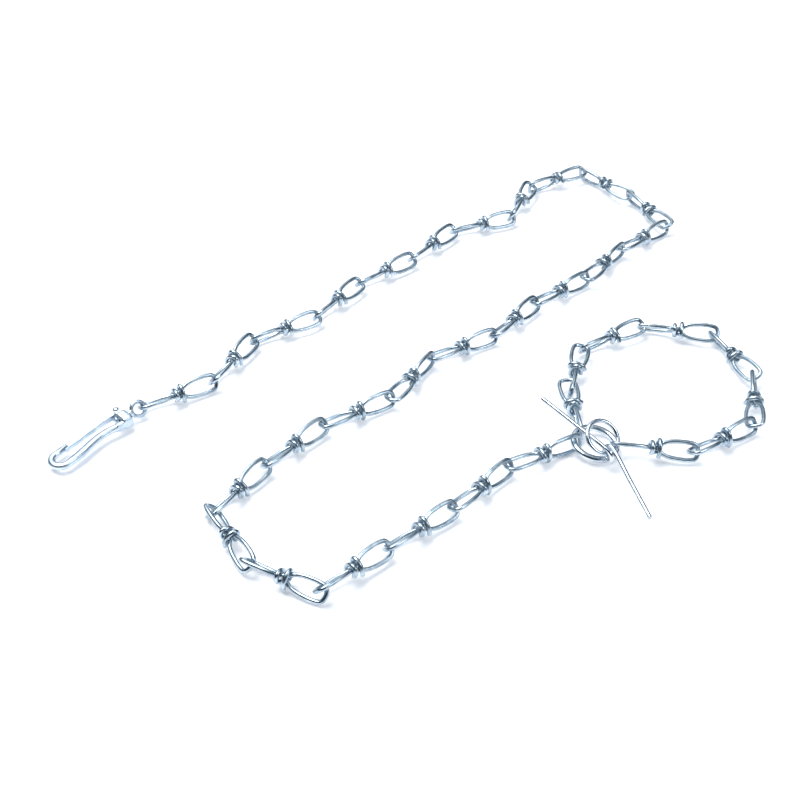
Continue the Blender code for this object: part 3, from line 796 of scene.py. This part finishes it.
def gate_mesh():
    """The strip's section, swept: rounded long edges, narrower past the pin."""
    path = smooth_path([(p.x, p.y, 0.0) for p in gate_path()], GATE_STEP)
    total = len(path)
    start, end = GATE_NARROWS_OVER
    profile = [(math.cos(math.radians(a)), math.sin(math.radians(a))) for a in range(0, 360, 15)]
    verts = []
    for i, place in enumerate(path):
        before, after = path[max(i - 1, 0)], path[min(i + 1, total - 1)]
        tangent = Vector(after - before).normalized()
        normal = Vector((-tangent.y, tangent.x, 0.0))
        share = (i / total - start) / (end - start)
        half = GATE_HALF * (1.0 - GATE_NARROWING * min(1.0, max(0.0, share)))
        for c, s in profile:
            flat = math.copysign(abs(s) ** GATE_SQUARENESS[0], s) * half
            thick = math.copysign(abs(c) ** GATE_SQUARENESS[1], c) * GATE_THICKNESS / 2
            verts.append(tuple(Vector(place) + normal * thick + Vector((0, 0, flat))))
    return finished_mesh("hook_gate", verts, row_faces(total, len(profile)))


def pin_mesh():
    face = HOUSING_HALF + PIN_HEAD_GAP
    head = []
    for degrees in (0.0, 27.0, 54.0, 76.5, 90.0):
        angle = math.radians(degrees)
        radius = PIN_HEAD_RADIUS * max(math.cos(angle), PIN_HEAD_FLAT)
        head.append((radius, face + PIN_HEAD * math.sin(angle)))
    upper = [(PIN_RADIUS, face)] + head
    return turned_mesh("hook_pin", [(r, -h) for r, h in upper[::-1]] + upper)


def add_hook(cast, spring, bright, last_link):
    end_place = last_link @ Vector((REACH, 0, 0))
    end_wire = axis_of(last_link, 2)
    heading = frame_at(HOOK_HEADING, dip=HOOK_DIP)
    along = axis_of(heading, 0)
    centre = end_place + along * (EYE_RADIUS - LINK_WIRE / 2 - EYE_WIRE / 2 - PLAY)
    flat = Matrix.Translation(centre) @ heading
    eye_world = Matrix.Translation(centre) @ frame_from(along, end_wire.cross(along))
    at_pin = flat @ Matrix.Translation((PIN_X, PIN_Y, 0))
    piece("hook_eye", eye_mesh(), eye_world, cast, "swivel_eye", "swivel_eye")
    piece("hook_cast", hook_mesh(), flat, cast, "hook_body", "hook_body")
    piece("hook_gate", gate_mesh(), flat, spring, "gate_spring", "gate_spring")
    piece("hook_pin", pin_mesh(), at_pin, bright, "gate_pin", "hook_body")


# ================================================================ studio
CAMERA_PLACE = Vector((-0.0095, -0.5956, 0.4527))
CAMERA_ELEVATION = 39.5
CAMERA_LENS = 58.5
CAMERA_SENSOR = 36.0
FLOOR_HALF = 3.0
FLOOR_GAP = 0.0002           # below the lowest wire

# share of a reflected direction towards ROOM_UP, and the room's colour there
ROOM_UP = (-0.12, 0.45, 0.90)
ROOM_STOPS = (
    (0.00, (0.01, 0.03, 0.05)), (0.40, (0.02, 0.05, 0.08)), (0.62, (0.10, 0.18, 0.25)),
    (0.78, (0.60, 0.72, 0.82)), (0.92, (1.2, 1.2, 1.2)),
)
PANEL_SCALE = 3.2
PANEL_STOPS = ((0.47, (0.10, 0.16, 0.21)), (0.53, (1.2, 1.2, 1.2)))
PANEL_SHARE = 0.75
ROOM_STRENGTH = 0.8

# name, place, size, watts, colour; all point at the origin
LIGHTS = (
    ("key", (-0.5, 0.25, 1.5), (1.2, 0.9), 26.0, (1.0, 1.0, 1.0)),
    ("fill", (1.0, -0.5, 1.0), (0.5, 0.5), 6.0, (0.94, 0.97, 1.0)),
)


def add_camera():
    data = bpy.data.cameras.new("camera")
    data.lens = CAMERA_LENS
    data.sensor_width = CAMERA_SENSOR
    camera = bpy.data.objects.new("camera", data)
    camera.location = CAMERA_PLACE
    camera.rotation_euler = (math.radians(90 - CAMERA_ELEVATION), 0.0, 0.0)
    bpy.context.scene.collection.objects.link(camera)
    bpy.context.scene.camera = camera


def add_floor():
    corners = [(x * FLOOR_HALF, y * FLOOR_HALF, 0) for x, y in ((-1, -1), (1, -1), (1, 1), (-1, 1))]
    mesh = finished_mesh("floor", corners, [(0, 1, 2, 3)])
    mesh.materials.append(floor_material())
    floor = bpy.data.objects.new("floor", mesh)
    floor.location = (0, 0, cad_low[2] - FLOOR_GAP)
    bpy.context.scene.collection.objects.link(floor)


def add_area_light(name, place, size, power, colour):
    data = bpy.data.lights.new(name, "AREA")
    data.shape = "RECTANGLE"
    data.size, data.size_y = size
    data.energy = power
    data.color = colour
    light = bpy.data.objects.new(name, data)
    light.location = place
    light.rotation_euler = (-Vector(place)).to_track_quat("-Z", "Y").to_euler()
    bpy.context.scene.collection.objects.link(light)


def add_world():
    """White above and behind, dim blue-green on the near side, and some panels as of windows."""
    world = bpy.data.worlds.new("studio")
    world.use_nodes = True
    tree = world.node_tree
    background = tree.nodes["Background"]
    direction = tree.nodes.new("ShaderNodeTexCoord").outputs["Generated"]
    lean = node(tree, "ShaderNodeVectorMath", operation="DOT_PRODUCT")
    lean.inputs[1].default_value = ROOM_UP
    tree.links.new(direction, lean.inputs[0])
    room = ramp(tree, lean.outputs["Value"], ROOM_STOPS)
    panels = ramp(tree, noise(tree, direction, PANEL_SCALE, detail=1.0), PANEL_STOPS)
    mixed = node(tree, "ShaderNodeMix", data_type="RGBA")
    mixed.blend_type = "MULTIPLY"
    mixed.inputs[MIX_FACTOR].default_value = PANEL_SHARE
    tree.links.new(room, mixed.inputs[MIX_A])
    tree.links.new(panels, mixed.inputs[MIX_B])
    tree.links.new(mixed.outputs[MIX_RESULT], background.inputs["Color"])
    background.inputs["Strength"].default_value = ROOM_STRENGTH
    bpy.context.scene.world = world


def add_studio():
    add_camera()
    add_floor()
    add_world()
    for light in LIGHTS:
        add_area_light(*light)
    bpy.context.scene.view_settings.view_transform = "Standard"


# ================================================================ assembly
def build():
    zinc, bright, cast, spring = (plated_steel(name, *look) for name, look in PLATING.items())
    links = [wire_mesh(f"link_{i}", smooth_path(link_path(turn), STEP_ALONG), LINK_WIRE)
             for i, turn in enumerate(WRAP_TURNS)]
    tether = lay_chain(TETHER_LAY, TETHER_START)
    neck = lay_chain(NECK_LAY, NECK_START, NECK_END_HEIGHT)
    count = len(TETHER_LAY)
    add_links([f"chain_link_{count - i:02d}" for i in range(count)], tether, links, zinc)
    add_links([f"neck_link_{i + 1}" for i in range(len(NECK_LAY))], neck, links, zinc)
    ring_world = add_rings(bright, neck[-1])
    add_toggle(bright, ring_world)
    add_hook(cast, spring, bright, tether[-1])
    add_studio()


build()
